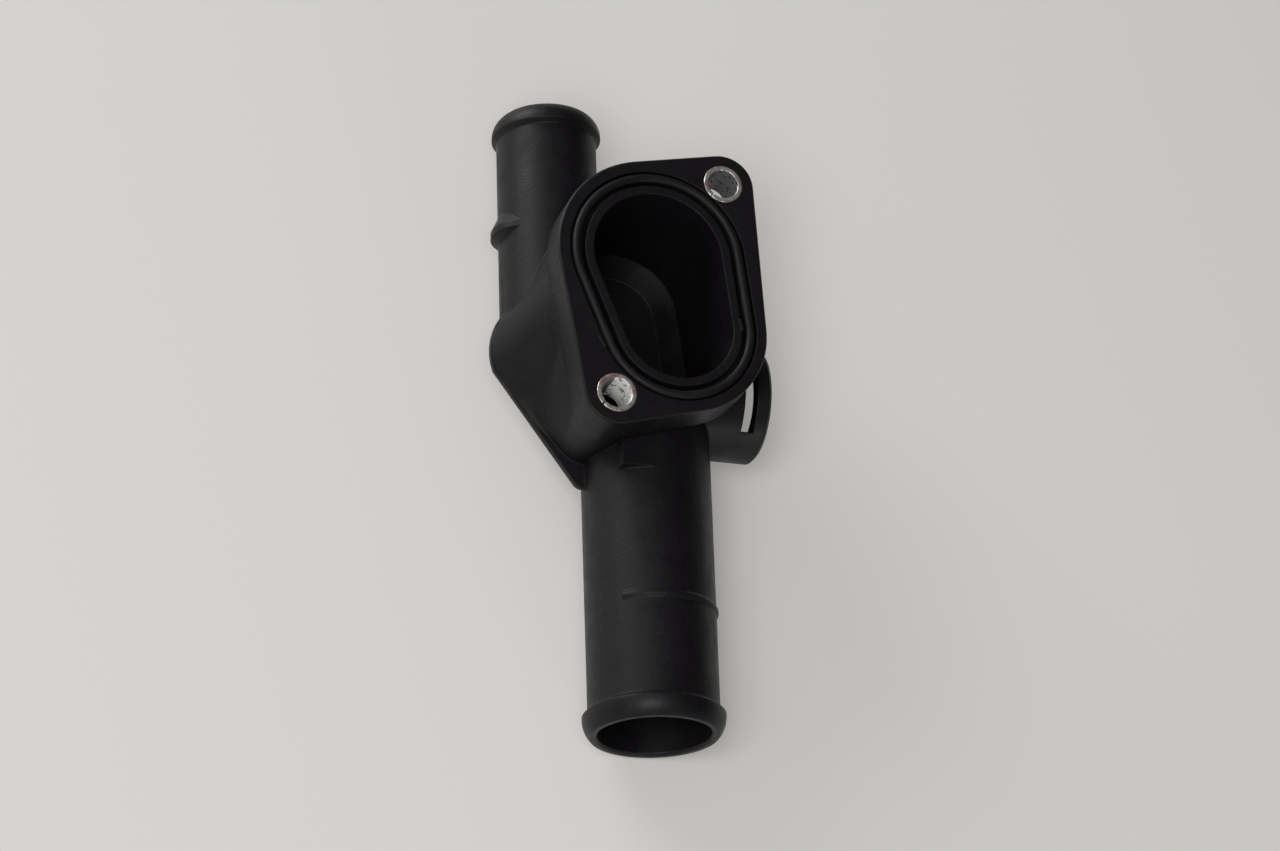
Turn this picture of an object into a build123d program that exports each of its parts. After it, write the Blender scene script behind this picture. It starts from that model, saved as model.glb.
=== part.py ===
from build123d import *
import os
from math import acos, atan2, cos, degrees, radians, sin

os.makedirs("parts", exist_ok=True)

# All sizes are in millimetres. The sealing face is Z = 0 and looks along +Z.
# The origin is midway between the two bolt holes. The hose stubs run along Y,
# the large one towards -Y and the small one towards +Y. The sensor collar points along +X.

# Flange plate and its bolt lobes
flange_thickness = 10.0
bolt_x = 14.7
bolt_y = 29.75
lobe_r = 8.0
flange_edge = 0.4

# Oval port: the hull of an upper and a lower circle
port_upper_r = 16.5
port_lower_r = 14.2

# Chamber behind the port
chamber_wall = 2.5
chamber_bevel = 6.0
chamber_depth = 42.3

# Seal groove round the port, measured outwards from the port's edge
lip_width = 2.2
groove_width = 3.8
groove_depth = 2.6
groove_edge = lip_width + groove_width
upper_land = 3.1
lower_land = 2.7

# Seal ring in the groove
seal_width = 2.4
seal_gap = 1.0
seal_proud = 0.5
seal_crest = 0.8

# Rolled steel sleeve in each bolt hole
sleeve_r = 5.0
sleeve_wall = 1.2
sleeve_length = 10.7
sleeve_proud = 0.2
sleeve_slit = 0.35
sleeve_chamfer = 0.3
bolt_tip_depth = 15.0

# Each port circle lies in this direction from its bolt, with a thin web between sleeve and groove
upper_angle = 230.8
lower_angle = 50.6
upper_web = 0.18
lower_web = 0.48

# Both hose stubs have their axes in this plane
axis_depth = 27.0

# Large hose stub
large_x = 1.0
large_r = 16.0
large_bore_r = 13.8
large_end_y = -106.5
large_bead_r = 17.4
large_tip_r = 15.6
large_bead_length = 6.2
large_bead_rise = 1.2
large_crown_start = 4.6
large_root = 5.0
mouth_edge = 0.6

# Flat-topped shelf on the -X side of the large stub's root
shelf_width = 11.0
shelf_height = 6.0
shelf_drop = 0.2
shelf_end_y = -43.0

# Low stop rib for the hose on the large stub
rib_y = -75.6
rib_width = 2.2
rib_height = 0.5
rib_slope = 0.8
rib_sweep = 265.0

# Small hose stub
small_x = -22.5
small_r = 12.6
small_bore_r = 10.25
small_end_y = 55.2
small_bead_r = 13.75
small_tip_r = 11.6
small_bead_length = 5.8
small_bead_rise = 1.0
small_crown_start = 4.2

# Stop lug for the hose on the small stub: it fades out towards its two ends
lug_y = 21.0
lug_length = 7.0
lug_height = 2.1
lug_step = 0.9
lug_slope = 4.4
lug_half_sweep = 50.0

# Closed end of the small stub's passage: a ball outside and a cone inside
nose_y = -3.8
small_end_depth = 9.0
small_end_taper = 5.0

# Skirt that leads from the flange down to the plate in the plane of the stub axes
skirt_ledge = 2.1
skirt_foot = 0.3
skirt_centre = (-21.1, -9.5)
skirt_r = 17.2
skirt_flank = 16.4
shoulder_centre = (-6.0, 1.0)
shoulder_top_r = 21.4
shoulder_foot_r = 17.0
shoulder_rise = 0.5

# The plate and its corner beside the large stub
plate_thickness = 1.6
plate_corner_r = 2.7
plate_corner = (-15.4, -41.3)

# Sensor collar with its slot for a U-shaped clip
collar_y = -17.4
collar_r = 14.5
collar_end_x = 30.0
collar_rim = 0.8
socket_r = 10.0
socket_length = 6.0
socket_neck_r = 8.0
socket_entry_r = 10.8
clip_x = 23.0
clip_width = 3.2
clip_half_span = 11.2
clip_depth = 5.0

# Cutting tools run past the faces they cut by this much
overrun = 1.0


def from_bolt(bolt, port_r, web, angle):
    """Centre of a port circle at its distance from a bolt, in the direction given in degrees."""
    reach = port_r + groove_edge + web + sleeve_r
    return (bolt[0] + reach * cos(radians(angle)), bolt[1] + reach * sin(radians(angle)))


upper_centre = from_bolt((bolt_x, bolt_y), port_upper_r, upper_web, upper_angle)
lower_centre = from_bolt((-bolt_x, -bolt_y), port_lower_r, lower_web, lower_angle)


def oval(margin):
    """Face bounded by the port's outline moved outwards by the margin."""
    upper = Pos(*upper_centre) * Circle(port_upper_r + margin)
    lower = Pos(*lower_centre) * Circle(port_lower_r + margin)
    return make_hull(upper.edges() + lower.edges())


def upper_bolt():
    return Pos(bolt_x, bolt_y)


def lower_bolt():
    return Pos(-bolt_x, -bolt_y)


def flange_outline():
    """Face of the whole flange: the oval and a round lobe at each bolt."""
    upper = Pos(*upper_centre) * Circle(port_upper_r + groove_edge + upper_land)
    lower = Pos(*lower_centre) * Circle(port_lower_r + groove_edge + lower_land)
    edges = upper.edges() + lower.edges()
    for place in (upper_bolt(), lower_bolt()):
        edges += (place * Circle(lobe_r)).edges()
    return make_hull(edges)


def turned(outline):
    """Solid of revolution about local Z from an outline given as radius and height."""
    return revolve(Plane.XZ * make_face(outline), Axis.Z)


def stub_body(radius, bead_r, tip_r, length, bead_length, bead_rise, crown_start):
    """Solid hose stub along local +Z with a rounded bead at its end."""
    bead_foot = length - bead_length
    crest = bead_foot + bead_rise
    crown = length - crown_start
    side = Polyline((0, 0), (radius, 0), (radius, bead_foot), (bead_r, crest), (bead_r, crown))
    nose = TangentArc((bead_r, crown), (tip_r, length), tangent=(0, 1))
    closing = Polyline((tip_r, length), (0, length), (0, 0))
    return turned(side + nose + closing)


def stub_bore(bore_r, length):
    """Bore along local +Z with a chamfered mouth."""
    mouth_r = bore_r + mouth_edge
    return turned(Polyline((0, 0), (bore_r, 0), (bore_r, length - mouth_edge), (mouth_r, length),
                           (mouth_r, length + overrun), (0, length + overrun), (0, 0)))


def make_flange():
    plate = extrude(flange_outline(), amount=-flange_thickness)
    face_edges = plate.edges().group_by(Axis.Z)[-1]
    plate = chamfer(face_edges, flange_edge)
    groove = oval(groove_edge) - oval(lip_width)
    plate -= extrude(groove, amount=-groove_depth)
    return plate


def make_chamber():
    depth = chamber_depth - flange_thickness
    block = Pos(0, 0, -flange_thickness) * extrude(oval(chamber_wall), amount=-depth)
    floor_edges = block.edges().group_by(Axis.Z)[0]
    return chamfer(floor_edges, chamber_bevel)


def chamber_void():
    void = extrude(oval(0.0), amount=chamber_wall - chamber_depth)
    floor_edges = void.edges().group_by(Axis.Z)[0]
    inner_bevel = chamber_bevel - chamber_wall * (2 - 2 ** 0.5)
    return chamfer(floor_edges, inner_bevel) + extrude(oval(0.0), amount=overrun)


def large_plane(start_y):
    """Local +Z runs along the large stub towards its mouth. Local +X is -Z, local +Y is +X."""
    return Plane(origin=(large_x, start_y, -axis_depth), x_dir=(0, 0, -1), z_dir=(0, -1, 0))


def small_plane():
    """Local +Z runs along the small stub, from the ball to its mouth. Local +X is -Z, local +Y is -X."""
    return Plane(origin=(small_x, nose_y, -axis_depth), x_dir=(0, 0, -1), z_dir=(0, 1, 0))


def make_large_stub():
    start_y = lower_centre[1] + large_root + chamber_wall
    body = stub_body(large_r, large_bead_r, large_tip_r, start_y - large_end_y,
                     large_bead_length, large_bead_rise, large_crown_start)
    return large_plane(start_y) * body


def make_stop_rib():
    """Part of a low ring round the large stub, open towards the plane of the sealing face."""
    low = -rib_width / 2
    high = rib_width / 2
    top = large_r + rib_height
    foot = large_r - overrun
    outline = Polyline((foot, low), (large_r, low), (top, low + rib_slope), (top, high - rib_slope),
                       (large_r, high), (foot, high), (foot, low))
    ring = revolve(Plane.XZ * make_face(outline), Axis.Z, revolution_arc=rib_sweep)
    return large_plane(rib_y) * Rot(0, 0, 90 - rib_sweep / 2) * ring


def make_shelf():
    """Block from the chamber to the shelf's end, just under the crest of the large stub."""
    length = lower_centre[1] - shelf_end_y
    block = Box(shelf_width, length, shelf_height, align=(Align.MAX, Align.MAX, Align.MAX))
    return Pos(large_x, lower_centre[1], large_r - axis_depth - shelf_drop) * block


def large_void():
    start_y = lower_centre[1] + large_root
    return large_plane(start_y) * stub_bore(large_bore_r, start_y - large_end_y)


def make_small_stub():
    length = small_end_y - nose_y
    body = stub_body(small_r, small_bead_r, small_tip_r, length,
                     small_bead_length, small_bead_rise, small_crown_start)
    return small_plane() * (body + Sphere(small_r))


def make_lug():
    """Disc set off the stub's axis, so that it stands proud on one side and fades out along the stub's wall."""
    offset = lug_height / (1 - cos(radians(lug_half_sweep)))
    top = small_r + lug_height - offset
    foot = top - lug_height
    low = lug_y - nose_y
    high = low + lug_length
    outline = Polyline((0, low), (foot, low), (top, low + lug_step), (top, high - lug_slope),
                       (foot, high), (0, high), (0, low))
    return small_plane() * Pos(0, offset, 0) * turned(outline)


def small_void():
    blind_end = Cone(small_bore_r - small_end_taper, small_bore_r, small_end_depth,
                     align=(Align.CENTER, Align.CENTER, Align.MAX))
    return small_plane() * (stub_bore(small_bore_r, small_end_y - nose_y) + blind_end)


def beyond_flank():
    """Large block outside the straight flank, which runs from the skirt's disc to the plate's corner."""
    run_x = plate_corner[0] - skirt_centre[0]
    run_y = plate_corner[1] - skirt_centre[1]
    run = (run_x ** 2 + run_y ** 2) ** 0.5
    facing = atan2(run_y, run_x) - acos((skirt_flank - plate_corner_r) / run)
    middle = (skirt_centre[0] + skirt_flank * cos(facing), skirt_centre[1] + skirt_flank * sin(facing))
    block = Box(2 * run, 4 * run, 4 * axis_depth, align=(Align.MIN, Align.CENTER, Align.CENTER))
    return Pos(*middle, 0) * Rot(0, 0, degrees(facing)) * block


def make_skirt():
    """Slanted body from the flange's underside to the plate, with the lower lobe's boss in it."""
    skirt_depth = axis_depth - skirt_foot
    boss = lower_bolt() * Circle(lobe_r)
    upper = Pos(*upper_centre) * Circle(port_upper_r + groove_edge + upper_land - skirt_ledge)
    lower = Pos(*skirt_centre) * Circle(skirt_r)
    top = Pos(0, 0, -flange_thickness) * make_hull(upper.edges() + boss.edges())
    bottom = Pos(0, 0, -skirt_depth) * make_hull(lower.edges() + boss.edges())
    return loft([top, bottom], ruled=True)


def make_shoulder():
    """Oblique cone that rounds the skirt off where the small stub runs into it."""
    upper = Pos(*shoulder_centre, shoulder_rise - flange_thickness) * Circle(shoulder_top_r)
    lower = Pos(*skirt_centre, skirt_foot - axis_depth) * Circle(shoulder_foot_r)
    return loft([upper, lower], ruled=True)


def make_plate():
    """Thin plate in the plane of the stub axes, from the skirt's disc to its corner."""
    disc = Pos(*skirt_centre) * Circle(skirt_r)
    corner = Pos(*plate_corner) * Circle(plate_corner_r)
    outline = make_hull(disc.edges() + corner.edges())
    return Pos(0, 0, -axis_depth) * extrude(outline, amount=plate_thickness / 2, both=True)


def collar_plane():
    """Local +Z runs along the collar towards its mouth. Local +X is -Z, local +Y is +Y."""
    return Plane(origin=(large_x, collar_y, -axis_depth), x_dir=(0, 0, -1), z_dir=(1, 0, 0))


def make_collar():
    length = collar_end_x - large_x
    barrel = Cylinder(collar_r, length, align=(Align.CENTER, Align.CENTER, Align.MIN))
    rim = barrel.edges().filter_by(GeomType.CIRCLE).group_by(Axis.Z)[-1]
    return collar_plane() * chamfer(rim, collar_rim)


def collar_void():
    """Neck into the chamber, sealing bore for the sensor, wider mouth and the clip's slot."""
    low_align = (Align.CENTER, Align.CENTER, Align.MIN)
    length = collar_end_x - large_x
    clip_from = clip_x - large_x
    neck = Cylinder(socket_neck_r, length, align=low_align)
    socket = Pos(0, 0, clip_from - socket_length) * Cylinder(socket_r, socket_length, align=low_align)
    entry = Pos(0, 0, clip_from) * Cylinder(socket_entry_r, length - clip_from + overrun, align=low_align)
    clip_height = collar_r + clip_depth + overrun
    clip = Box(clip_height, 2 * clip_half_span, clip_width, align=(Align.MAX, Align.CENTER, Align.MIN))
    return collar_plane() * (neck + socket + entry + Pos(clip_depth, 0, clip_from) * clip)


def bolt_voids():
    """Hole for each sleeve, and room for a bolt's tip below the lower one, which ends in the boss."""
    depth = sleeve_length - sleeve_proud
    hole = Pos(0, 0, -depth) * Cylinder(sleeve_r, depth + overrun, align=(Align.CENTER, Align.CENTER, Align.MIN))
    tip = Pos(0, 0, -bolt_tip_depth) * Cylinder(sleeve_r - sleeve_wall, bolt_tip_depth,
                                                align=(Align.CENTER, Align.CENTER, Align.MIN))
    return upper_bolt() * hole + lower_bolt() * (hole + tip)


def make_housing():
    left_side = (make_skirt() + make_shoulder() + make_plate()) - beyond_flank()
    body = make_flange() + make_chamber() + left_side + make_small_stub() + make_lug()
    body = body + make_large_stub() + make_shelf() + make_stop_rib() + make_collar()
    return body - chamber_void() - large_void() - small_void() - collar_void() - bolt_voids()


def make_seal():
    inner = lip_width + seal_gap
    ring = extrude(oval(inner + seal_width) - oval(inner), amount=groove_depth + seal_proud)
    crest = ring.edges().group_by(Axis.Z)[-1]
    return Pos(0, 0, -groove_depth) * chamfer(crest, seal_crest)


def make_sleeve(place):
    bottom_align = (Align.CENTER, Align.CENTER, Align.MIN)
    tube = Cylinder(sleeve_r, sleeve_length, align=bottom_align)
    tube = chamfer(tube.edges().group_by(Axis.Z)[-1], sleeve_chamfer)
    tube -= Cylinder(sleeve_r - sleeve_wall, sleeve_length, align=bottom_align)
    tube -= Box(2 * sleeve_r, sleeve_slit, sleeve_length, align=(Align.MIN, Align.CENTER, Align.MIN))
    return place * Pos(0, 0, sleeve_proud - sleeve_length) * tube


pieces = {
    "housing": make_housing(),
    "seal_ring": make_seal(),
    "upper_sleeve": make_sleeve(upper_bolt()),
    "lower_sleeve": make_sleeve(lower_bolt()),
}
for name, piece in pieces.items():
    export_step(piece, f"parts/{name}.step")
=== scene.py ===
import math
import bpy
from mathutils import Matrix, Vector


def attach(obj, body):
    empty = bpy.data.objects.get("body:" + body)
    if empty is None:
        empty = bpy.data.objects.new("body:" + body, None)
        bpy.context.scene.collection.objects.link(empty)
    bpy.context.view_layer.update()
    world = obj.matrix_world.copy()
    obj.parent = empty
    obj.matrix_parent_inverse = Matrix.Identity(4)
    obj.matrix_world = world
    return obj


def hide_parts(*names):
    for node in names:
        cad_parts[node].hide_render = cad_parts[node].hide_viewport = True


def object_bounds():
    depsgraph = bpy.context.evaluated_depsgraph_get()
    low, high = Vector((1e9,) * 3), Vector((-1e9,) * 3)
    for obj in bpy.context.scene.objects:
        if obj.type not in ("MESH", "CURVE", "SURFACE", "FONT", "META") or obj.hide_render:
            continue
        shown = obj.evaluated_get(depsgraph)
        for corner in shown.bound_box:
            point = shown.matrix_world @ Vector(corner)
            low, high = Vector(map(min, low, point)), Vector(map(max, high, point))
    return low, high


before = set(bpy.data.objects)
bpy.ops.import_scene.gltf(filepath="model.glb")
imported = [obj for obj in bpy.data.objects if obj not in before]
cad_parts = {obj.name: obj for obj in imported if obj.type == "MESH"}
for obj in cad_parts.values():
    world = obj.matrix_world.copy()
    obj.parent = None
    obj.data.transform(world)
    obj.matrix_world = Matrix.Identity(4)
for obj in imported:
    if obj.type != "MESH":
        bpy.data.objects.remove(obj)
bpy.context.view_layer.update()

# sizes and places are in millimetres in the part's own frame, unless a note says metres,
# and angles are in degrees
millimetre = 0.001
scene = bpy.context.scene


def metres(values):
    return [value * millimetre for value in values]


# camera: it stands where the photograph was taken from

camera = {
    "place": (-290.56, -418.93, 831.01),
    "right": (0.9510, -0.0317, 0.3075),
    "up": (-0.0950, 0.9167, 0.3882),
    "lens": 112.54,
    "sensorWidth": 36.0,
    "clip": (0.05, 20.0),  # metres
}


def putCamera():
    right = Vector(camera["right"]).normalized()
    up = Vector(camera["up"]).normalized()
    back = right.cross(up).normalized()
    up = back.cross(right)
    data = bpy.data.cameras.new("photoCamera")
    data.lens = camera["lens"]
    data.sensor_width = camera["sensorWidth"]
    data.clip_start, data.clip_end = camera["clip"]
    eye = bpy.data.objects.new("photoCamera", data)
    scene.collection.objects.link(eye)
    place = Vector(camera["place"]) * millimetre
    turn = Matrix((right, up, back)).transposed().to_4x4()
    eye.matrix_world = Matrix.Translation(place) @ turn
    scene.camera = eye
    print("camera placed")


# helpers for work in edit mode

def clearChoice():
    if bpy.context.object and bpy.context.object.mode != "OBJECT":
        bpy.ops.object.mode_set(mode="OBJECT")
    bpy.ops.object.select_all(action="DESELECT")


def workOn(piece):
    clearChoice()
    piece.select_set(True)
    bpy.context.view_layer.objects.active = piece


def pick(piece, kind, test):
    # kind is FACE or VERT, and edit mode is left on with what passes the test selected
    bpy.ops.object.mode_set(mode="EDIT")
    bpy.ops.mesh.select_mode(type=kind)
    bpy.ops.mesh.select_all(action="DESELECT")
    bpy.ops.object.mode_set(mode="OBJECT")
    items = piece.data.polygons if kind == "FACE" else piece.data.vertices
    for item in items:
        item.select = test(item)
    bpy.ops.object.mode_set(mode="EDIT")


def settle(piece):
    # place, turn and scale go into the mesh, and live modifiers are applied
    workOn(piece)
    bpy.ops.object.transform_apply(location=True, rotation=True, scale=True)
    for modifier in list(piece.modifiers):
        bpy.ops.object.modifier_apply(modifier=modifier.name)


def join(piece, others):
    workOn(piece)
    for other in others:
        other.select_set(True)
    bpy.ops.object.join()


# helpers for material nodes

noiseBand = (0.3, 0.7)  # most of a noise lies between these


def newMaterial(name):
    made = bpy.data.materials.new(name)
    made.use_nodes = True
    return made, made.node_tree, made.node_tree.nodes["Principled BSDF"]


def feed(tree, socket, value):
    # another node's output is linked, and a plain number or colour is set on the socket itself
    if isinstance(value, bpy.types.NodeSocket):
        tree.links.new(value, socket)
    elif isinstance(value, tuple):
        socket.default_value = (*value, 1.0)
    else:
        socket.default_value = value


def addPlace(tree):
    return tree.nodes.new("ShaderNodeTexCoord").outputs["Object"]


def addSplit(tree, vector, axis):
    split = tree.nodes.new("ShaderNodeSeparateXYZ")
    feed(tree, split.inputs["Vector"], vector)
    return split.outputs[axis]


def addMath(tree, operation, first, second=0.0):
    sums = tree.nodes.new("ShaderNodeMath")
    sums.operation = operation
    feed(tree, sums.inputs[0], first)
    feed(tree, sums.inputs[1], second)
    return sums.outputs["Value"]


def addDistance(tree, where, centre):
    reach = tree.nodes.new("ShaderNodeVectorMath")
    reach.operation = "DISTANCE"
    feed(tree, reach.inputs[0], where)
    reach.inputs[1].default_value = metres(centre)
    return reach.outputs["Value"]


def addRange(tree, value, fromBand, toBand=(0.0, 1.0)):
    band = tree.nodes.new("ShaderNodeMapRange")
    band.inputs["From Min"].default_value, band.inputs["From Max"].default_value = fromBand
    band.inputs["To Min"].default_value, band.inputs["To Max"].default_value = toBand
    feed(tree, band.inputs["Value"], value)
    return band.outputs["Result"]


def addNoise(tree, where, size, detail, roughness=0.5):
    noise = tree.nodes.new("ShaderNodeTexNoise")
    noise.inputs["Scale"].default_value = 1.0 / (size * millimetre)
    noise.inputs["Detail"].default_value = detail
    noise.inputs["Roughness"].default_value = roughness
    feed(tree, noise.inputs["Vector"], where)
    return noise.outputs["Fac"]


def addMix(tree, share, first, second):
    mix = tree.nodes.new("ShaderNodeMix")
    mix.data_type = "RGBA"
    feed(tree, mix.inputs["A"], first)
    feed(tree, mix.inputs["B"], second)
    feed(tree, mix.inputs["Factor"], share)
    return mix.outputs["Result"]


def addBump(tree, height, depth, under=None):
    bump = tree.nodes.new("ShaderNodeBump")
    bump.inputs["Distance"].default_value = depth * millimetre
    feed(tree, bump.inputs["Height"], height)
    if under:
        feed(tree, bump.inputs["Normal"], under)
    return bump.outputs["Normal"]


# housing: the CAD node in black glass-filled nylon, with fine grain and the mould's parting line

nylon = {
    "base": (0.0058, 0.0044, 0.0060),
    "fleck": (0.020, 0.017, 0.021),
    "fleckBand": (0.60, 0.74),
    "specular": 0.27,
    "roughness": (0.40, 0.54),
    "blotchSize": 5.0,
    "grainSize": 0.42,
    "grainDepth": 0.050,
    "swellSize": 14.0,
    "swellDepth": 0.025,
    "roundSamples": 6,
    "edgeRound": 0.55,
    "blendRound": 3.0,
    "blendCentre": (-24.0, -14.0, -18.0),
    "blendReach": (12.0, 19.0),
    "blendHeight": (-11.0, -8.0),
    "partingHeight": -27.0,
    "partingWidth": 0.12,
    "partingDepth": 0.05,
}


def addRounds(tree, where, height):
    # edges are shaded as small rounds, and as wide ones where the shoulder over the small stub,
    # its round end and the skirt run together
    reach = addDistance(tree, where, nylon["blendCentre"])
    nearShoulder = addRange(tree, reach, metres(nylon["blendReach"]), (1.0, 0.0))
    underFlange = addRange(tree, height, metres(nylon["blendHeight"]), (1.0, 0.0))
    zone = addMath(tree, "MULTIPLY", nearShoulder, underFlange)
    rounds = tree.nodes.new("ShaderNodeBevel")
    rounds.samples = nylon["roundSamples"]
    radius = addRange(tree, zone, (0.0, 1.0), metres((nylon["edgeRound"], nylon["blendRound"])))
    feed(tree, rounds.inputs["Radius"], radius)
    return rounds.outputs["Normal"]


def addPartingRidge(tree, height):
    # the two mould halves meet in the plane of the stub axes
    above = addMath(tree, "SUBTRACT", height, nylon["partingHeight"] * millimetre)
    away = addMath(tree, "ABSOLUTE", above)
    return addRange(tree, away, metres((0.0, nylon["partingWidth"])), (1.0, 0.0))


def blackNylon():
    made, tree, shader = newMaterial("blackNylon")
    where = addPlace(tree)
    height = addSplit(tree, where, "Z")
    grain = addNoise(tree, where, nylon["grainSize"], detail=2.0)
    swell = addNoise(tree, where, nylon["swellSize"], detail=2.0)
    blotch = addNoise(tree, where, nylon["blotchSize"], detail=4.0)
    # glass-filled skin: small paler flecks in near-black plastic
    fleck = addRange(tree, grain, nylon["fleckBand"])
    feed(tree, shader.inputs["Base Color"], addMix(tree, fleck, nylon["base"], nylon["fleck"]))
    feed(tree, shader.inputs["Roughness"], addRange(tree, blotch, noiseBand, nylon["roughness"]))
    feed(tree, shader.inputs["Specular IOR Level"], nylon["specular"])
    normal = addRounds(tree, where, height)
    normal = addBump(tree, addPartingRidge(tree, height), nylon["partingDepth"], normal)
    normal = addBump(tree, swell, nylon["swellDepth"], normal)
    normal = addBump(tree, grain, nylon["grainDepth"], normal)
    feed(tree, shader.inputs["Normal"], normal)
    return made


def dressHousing(material):
    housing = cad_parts["housing"]  # its mesh stays as the CAD has it
    housing.data.materials.clear()
    housing.data.materials.append(material)
    print("housing dressed")


# sleeves: rolled steel tubes with broken edges and an open seam, zinc plated, stained and speckled; reddish
# patches on the plating are painted reflections, and the bores carry painted light and painted shade

zinc = {
    "rim": (0.66, 0.64, 0.61),
    "rimMetal": 0.72,
    "rimRoughness": (0.22, 0.42),
    "stain": (0.34, 0.32, 0.30),
    "stainSize": 1.1,
    "stainBand": (0.42, 0.66),
    # the reddish patches on the plating are painted reflections of something red nearby
    "redReflection": (0.42, 0.20, 0.17),
    "redReflectionSize": 4.0,
    "redReflectionBand": (0.52, 0.68),
    "redReflectionShare": 0.8,
    "dentSize": 1.6,
    "dentDepth": 0.10,
    # the bore wall is one zinc finish in two copies: a pale one that is painted light and a dark one that
    # is painted shade
    "paintedLitWall": {"colour": (0.96, 0.96, 0.92), "speck": (0.24, 0.24, 0.22), "metal": 0.0},
    "paintedShadeWall": {"colour": (0.27, 0.27, 0.28), "speck": (0.06, 0.06, 0.062), "metal": 0.6},
    "wallRoughness": (0.45, 0.65),
    "speckSize": 1.2,
    "speckBand": (0.55, 0.62),
    "speckDepth": 0.03,
}


def zincRim():
    made, tree, shader = newMaterial("zincRim")
    where = addPlace(tree)
    stain = addNoise(tree, where, zinc["stainSize"], detail=4.0)
    dent = addNoise(tree, where, zinc["dentSize"], detail=2.0)
    spread = addNoise(tree, where, zinc["redReflectionSize"], detail=2.0)
    plate = addMix(tree, addRange(tree, stain, zinc["stainBand"]), zinc["rim"], zinc["stain"])
    # reddish patches painted in as reflections of something red nearby
    redReflectionMask = addRange(tree, spread, zinc["redReflectionBand"], (0.0, zinc["redReflectionShare"]))
    feed(tree, shader.inputs["Base Color"], addMix(tree, redReflectionMask, plate, zinc["redReflection"]))
    feed(tree, shader.inputs["Roughness"], addRange(tree, stain, noiseBand, zinc["rimRoughness"]))
    feed(tree, shader.inputs["Metallic"], zinc["rimMetal"])
    feed(tree, shader.inputs["Normal"], addBump(tree, dent, zinc["dentDepth"]))
    return made


def zincWall(name, wall):
    # the copy given paints the bore lit or shaded: its colour and speck tone are painted light or painted
    # shade
    made, tree, shader = newMaterial(name)
    spots = addNoise(tree, addPlace(tree), zinc["speckSize"], detail=4.0, roughness=0.6)
    speckled = addRange(tree, spots, zinc["speckBand"])
    feed(tree, shader.inputs["Base Color"], addMix(tree, speckled, wall["colour"], wall["speck"]))
    feed(tree, shader.inputs["Roughness"], addRange(tree, spots, noiseBand, zinc["wallRoughness"]))
    feed(tree, shader.inputs["Metallic"], wall["metal"])
    feed(tree, shader.inputs["Normal"], addBump(tree, spots, zinc["speckDepth"]))
    return made


sleeve = {
    "outerRadius": 5.0,
    "wall": 1.2,
    "length": 10.7,
    "proud": 0.2,
    "sides": 96,
    "rimRound": 0.28,
    "rimSteps": 3,
    "rimAngle": 50.0,
    "smoothAngle": 40.0,
    "boreMargin": 0.05,
    "boreLean": 0.3,
    "places": {"upper_sleeve": (14.7, 29.75), "lower_sleeve": (-14.7, -29.75)},
    "seamTurn": {"upper_sleeve": 230.0, "lower_sleeve": 225.0},
    # the arc of the lower bore that faces away from the light, in degrees, gets painted shade
    "paintedShadeArc": (92.0, 215.0),
}


def makeSleeve(node, rimMaterial, paintedLitOrShadeBoreMaterial, paintedShadeArcMaterial):
    x, y = metres(sleeve["places"][node])
    middle = (sleeve["proud"] - sleeve["length"] / 2) * millimetre
    clearChoice()
    bpy.ops.mesh.primitive_cylinder_add(vertices=sleeve["sides"], radius=sleeve["outerRadius"] * millimetre,
                                        depth=sleeve["length"] * millimetre, end_fill_type="NOTHING",
                                        location=(x, y, middle))
    piece = bpy.context.object
    piece.name = node + "_rolled"
    bpy.ops.object.transform_apply(location=True, rotation=True, scale=True)

    def turnOf(face):
        return math.atan2(face.center.y - y, face.center.x - x)

    # one strip of the tube is the open seam
    seam = math.radians(sleeve["seamTurn"][node])
    halfStrip = math.pi / sleeve["sides"]

    def onSeam(face):
        apart = (turnOf(face) - seam + math.pi) % (2 * math.pi) - math.pi
        return -halfStrip <= apart < halfStrip

    pick(piece, "FACE", onSeam)
    bpy.ops.mesh.delete(type="FACE")
    bpy.ops.object.mode_set(mode="OBJECT")
    wall = piece.modifiers.new("wall", "SOLIDIFY")
    wall.thickness = sleeve["wall"] * millimetre
    wall.offset = -1.0  # all of it inwards
    edge = piece.modifiers.new("edge", "BEVEL")
    edge.width = sleeve["rimRound"] * millimetre
    edge.segments = sleeve["rimSteps"]
    edge.limit_method = "ANGLE"
    edge.angle_limit = math.radians(sleeve["rimAngle"])
    settle(piece)

    # the rim's plating is all over, and the bore gets a painted light or painted shade copy of the wall
    # finish, with painted shade on its arc that faces away from the light
    for material in (rimMaterial, paintedLitOrShadeBoreMaterial, paintedShadeArcMaterial):
        piece.data.materials.append(material)
    bore = (sleeve["outerRadius"] - sleeve["wall"] + sleeve["boreMargin"]) * millimetre
    shadeArcStart, shadeArcEnd = [math.radians(turn) for turn in sleeve["paintedShadeArc"]]

    def onBore(face):
        level = abs(face.normal.z) < sleeve["boreLean"]
        return math.hypot(face.center.x - x, face.center.y - y) < bore and level

    # the arc that faces away from the light is given painted shade
    def onPaintedShadeArc(face):
        return onBore(face) and shadeArcStart < turnOf(face) % (2 * math.pi) < shadeArcEnd

    for index, test in enumerate((onBore, onPaintedShadeArc), start=1):
        pick(piece, "FACE", test)
        piece.active_material_index = index
        bpy.ops.object.material_slot_assign()
    bpy.ops.object.mode_set(mode="OBJECT")
    bpy.ops.object.shade_smooth_by_angle(angle=math.radians(sleeve["smoothAngle"]))
    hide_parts(node)
    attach(piece, "root")
    print(piece.name, "made")


# seal ring: a crowned strip of black rubber, spun round the two port circles, with two small ears

rubber = {
    "base": (0.0060, 0.0050, 0.0064),
    "dust": (0.012, 0.011, 0.012),
    "dustBand": (0.5, 0.75),
    "dustShare": 0.6,
    "specular": 0.30,
    "roughness": (0.48, 0.64),
    "bloomSize": 6.0,
    "grainSize": 0.45,
    "grainDepth": 0.008,
}


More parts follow.
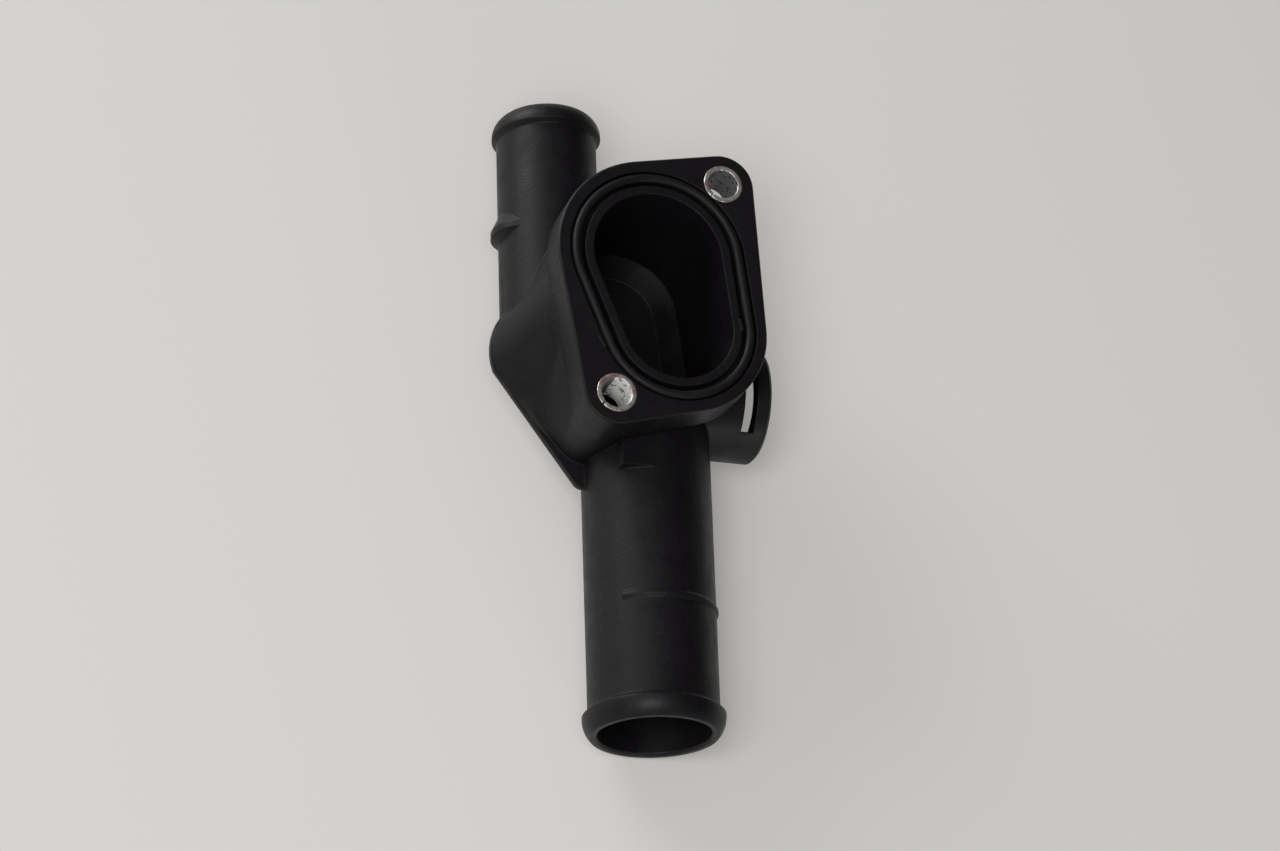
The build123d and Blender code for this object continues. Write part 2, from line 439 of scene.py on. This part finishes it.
def blackRubber():
    made, tree, shader = newMaterial("blackRubber")
    where = addPlace(tree)
    grain = addNoise(tree, where, rubber["grainSize"], detail=2.0)
    bloom = addNoise(tree, where, rubber["bloomSize"], detail=3.0)
    dusty = addRange(tree, bloom, rubber["dustBand"], (0.0, rubber["dustShare"]))
    feed(tree, shader.inputs["Base Color"], addMix(tree, dusty, rubber["base"], rubber["dust"]))
    feed(tree, shader.inputs["Roughness"], addRange(tree, bloom, noiseBand, rubber["roughness"]))
    feed(tree, shader.inputs["Specular IOR Level"], rubber["specular"])
    feed(tree, shader.inputs["Normal"], addBump(tree, grain, rubber["grainDepth"]))
    return made


seal = {
    "upperCentre": (-2.79, 8.30),
    "lowerCentre": (1.60, -9.91),
    "upperRadius": 20.9,
    "lowerRadius": 18.6,
    "width": 2.2,
    "bottom": -2.6,
    "top": 0.5,
    "crown": 1.05,
    "crownSteps": 7,
    "arcSteps": 64,
    "weld": 0.02,
    "smoothAngle": 35.0,
    "ears": [{"place": (-17.9, -16.8, 0.02), "turn": 28.0}, {"place": (17.75, -8.3, 0.02), "turn": 10.0}],
    "earSize": (0.9, 3.2, 0.5),
    "earRound": 0.2,
    "earSteps": 4,
}


def makeEar(ear):
    clearChoice()
    bpy.ops.mesh.primitive_cube_add(size=1.0, location=metres(ear["place"]),
                                    rotation=(0, 0, math.radians(ear["turn"])))
    tab = bpy.context.object
    tab.scale = metres(seal["earSize"])
    soften = tab.modifiers.new("soften", "BEVEL")
    soften.width = seal["earRound"] * millimetre
    soften.segments = seal["earSteps"]
    settle(tab)
    return tab


def makeSeal(material):
    upper = Vector((*seal["upperCentre"], 0)) * millimetre
    lower = Vector((*seal["lowerCentre"], 0)) * millimetre
    bigRadius = seal["upperRadius"] * millimetre
    smallRadius = seal["lowerRadius"] * millimetre

    # the straight sides touch both circles, at leftOut and rightOut from each centre
    along = (lower - upper).normalized()
    across = along.cross(Vector((0, 0, 1)))  # points to the -X side
    lean = (bigRadius - smallRadius) / (lower - upper).length
    level = math.sqrt(1 - lean * lean)
    leftOut = along * lean + across * level
    rightOut = along * lean - across * level

    # the section stands upright on the left, and its two upper corners are rounded into the crown
    height = (seal["top"] - seal["bottom"]) * millimetre
    middle = (seal["top"] + seal["bottom"]) / 2 * millimetre
    startPlace = upper + leftOut * bigRadius + Vector((0, 0, middle))
    clearChoice()
    bpy.ops.mesh.primitive_plane_add(size=1.0, location=startPlace,
                                     rotation=(math.pi / 2, 0, math.atan2(leftOut.y, leftOut.x)))
    piece = bpy.context.object
    piece.name = "seal_ring_moulded"
    piece.scale = (seal["width"] * millimetre, height, 1.0)
    bpy.ops.object.transform_apply(location=True, rotation=True, scale=True)
    pick(piece, "VERT", lambda point: point.co.z > 0)
    bpy.ops.mesh.bevel(offset=seal["crown"] * millimetre, segments=seal["crownSteps"], affect="VERTICES")
    bpy.ops.mesh.select_all(action="SELECT")
    bpy.ops.mesh.delete(type="ONLY_FACE")

    # its outline goes over the upper circle, down the right side, round the lower circle and back
    bpy.ops.mesh.select_all(action="SELECT")
    overTop = 2 * math.acos(-lean)
    underneath = 2 * math.acos(lean)
    bpy.ops.mesh.spin(steps=seal["arcSteps"], angle=overTop, center=upper, axis=(0, 0, 1))
    straight = (lower + rightOut * smallRadius) - (upper + rightOut * bigRadius)
    bpy.ops.mesh.extrude_region_move(TRANSFORM_OT_translate={"value": straight})
    bpy.ops.mesh.spin(steps=seal["arcSteps"], angle=underneath, center=lower, axis=(0, 0, 1))
    back = (upper + leftOut * bigRadius) - (lower + leftOut * smallRadius)
    bpy.ops.mesh.extrude_region_move(TRANSFORM_OT_translate={"value": back})
    bpy.ops.mesh.select_all(action="SELECT")
    bpy.ops.mesh.remove_doubles(threshold=seal["weld"] * millimetre)
    bpy.ops.mesh.normals_make_consistent(inside=False)
    bpy.ops.object.mode_set(mode="OBJECT")
    join(piece, [makeEar(ear) for ear in seal["ears"]])
    bpy.ops.object.shade_smooth_by_angle(angle=math.radians(seal["smoothAngle"]))
    piece.data.materials.append(material)
    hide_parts("seal_ring")
    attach(piece, "root")
    print("seal made,", len(piece.data.polygons), "faces")


# studio, in metres: pale table, a soft lamp above on the left, one behind, a weak one in front,
# and air that is brighter on the left than on the right

studio = {
    "floorColour": (0.92, 0.905, 0.88),
    "floorRoughness": 0.9,
    "floorSpecular": 0.1,
    "floorPale": (0.65, 0.64, 0.615),
    "paleShare": 0.3,
    "floorSize": 4.0,
    "airColour": (1.0, 0.99, 0.97),
    "airBand": (-0.7, 0.5),  # from left to right in the direction looked in
    "airStrength": (0.27, 0.05),
    "lamps": [
        {"name": "topLamp", "place": (-0.55, -0.50, 1.15), "size": 0.7, "power": 9.0},
        {"name": "backLamp", "place": (-1.00, 1.10, 0.35), "size": 0.9, "power": 14.0},
        {"name": "frontLamp", "place": (0.45, -1.30, 0.22), "size": 0.4, "power": 2.4},
    ],
}


def paleTable():
    made, tree, shader = newMaterial("paleTable")
    feed(tree, shader.inputs["Base Color"], studio["floorColour"])
    feed(tree, shader.inputs["Roughness"], studio["floorRoughness"])
    feed(tree, shader.inputs["Specular IOR Level"], studio["floorSpecular"])
    # seen directly or in a reflection the table is partly its own even paleness, so the shadow stays faint
    glow = tree.nodes.new("ShaderNodeEmission")
    feed(tree, glow.inputs["Color"], studio["floorPale"])
    ray = tree.nodes.new("ShaderNodeLightPath").outputs
    seen = addMath(tree, "MAXIMUM", ray["Is Camera Ray"], ray["Is Glossy Ray"])
    seen = addMath(tree, "MAXIMUM", seen, ray["Is Transmission Ray"])
    blend = tree.nodes.new("ShaderNodeMixShader")
    feed(tree, blend.inputs["Fac"], addRange(tree, seen, (0.0, 1.0), (0.0, studio["paleShare"])))
    feed(tree, blend.inputs[1], shader.outputs["BSDF"])
    feed(tree, blend.inputs[2], glow.outputs["Emission"])
    feed(tree, tree.nodes["Material Output"].inputs["Surface"], blend.outputs["Shader"])
    return made


def putTable():
    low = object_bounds()[0]  # the finished object's lowest corner
    clearChoice()
    bpy.ops.mesh.primitive_plane_add(size=studio["floorSize"], location=(0, 0, low.z))
    floor = bpy.context.object
    floor.name = "tableTop"
    floor.data.materials.append(paleTable())


def putLamps():
    for lamp in studio["lamps"]:
        data = bpy.data.lights.new(lamp["name"], "AREA")
        data.size = lamp["size"]
        data.energy = lamp["power"]
        light = bpy.data.objects.new(lamp["name"], data)
        scene.collection.objects.link(light)
        light.location = lamp["place"]
        light.rotation_euler = (-Vector(lamp["place"])).to_track_quat("-Z", "Y").to_euler()


def putAir():
    world = bpy.data.worlds.new("studioAir")
    world.use_nodes = True
    tree = world.node_tree
    sky = tree.nodes["Background"]
    feed(tree, sky.inputs["Color"], studio["airColour"])
    across = addSplit(tree, tree.nodes.new("ShaderNodeTexCoord").outputs["Generated"], "X")
    feed(tree, sky.inputs["Strength"], addRange(tree, across, studio["airBand"], studio["airStrength"]))
    scene.world = world


putCamera()
scene.view_settings.view_transform = "Standard"
dressHousing(blackNylon())
rim = zincRim()
# the bore wall is painted shade in the upper sleeve and on the lower one's arc, and painted light on the
# rest of the lower bore
paintedShade = zincWall("zincWallPaintedShade", zinc["paintedShadeWall"])
paintedLit = zincWall("zincWallPaintedLit", zinc["paintedLitWall"])
makeSleeve("upper_sleeve", rim, paintedShade, paintedShade)
makeSleeve("lower_sleeve", rim, paintedLit, paintedShade)
makeSeal(blackRubber())
print("pieces made")
putTable()
putLamps()
putAir()
print("studio lit")
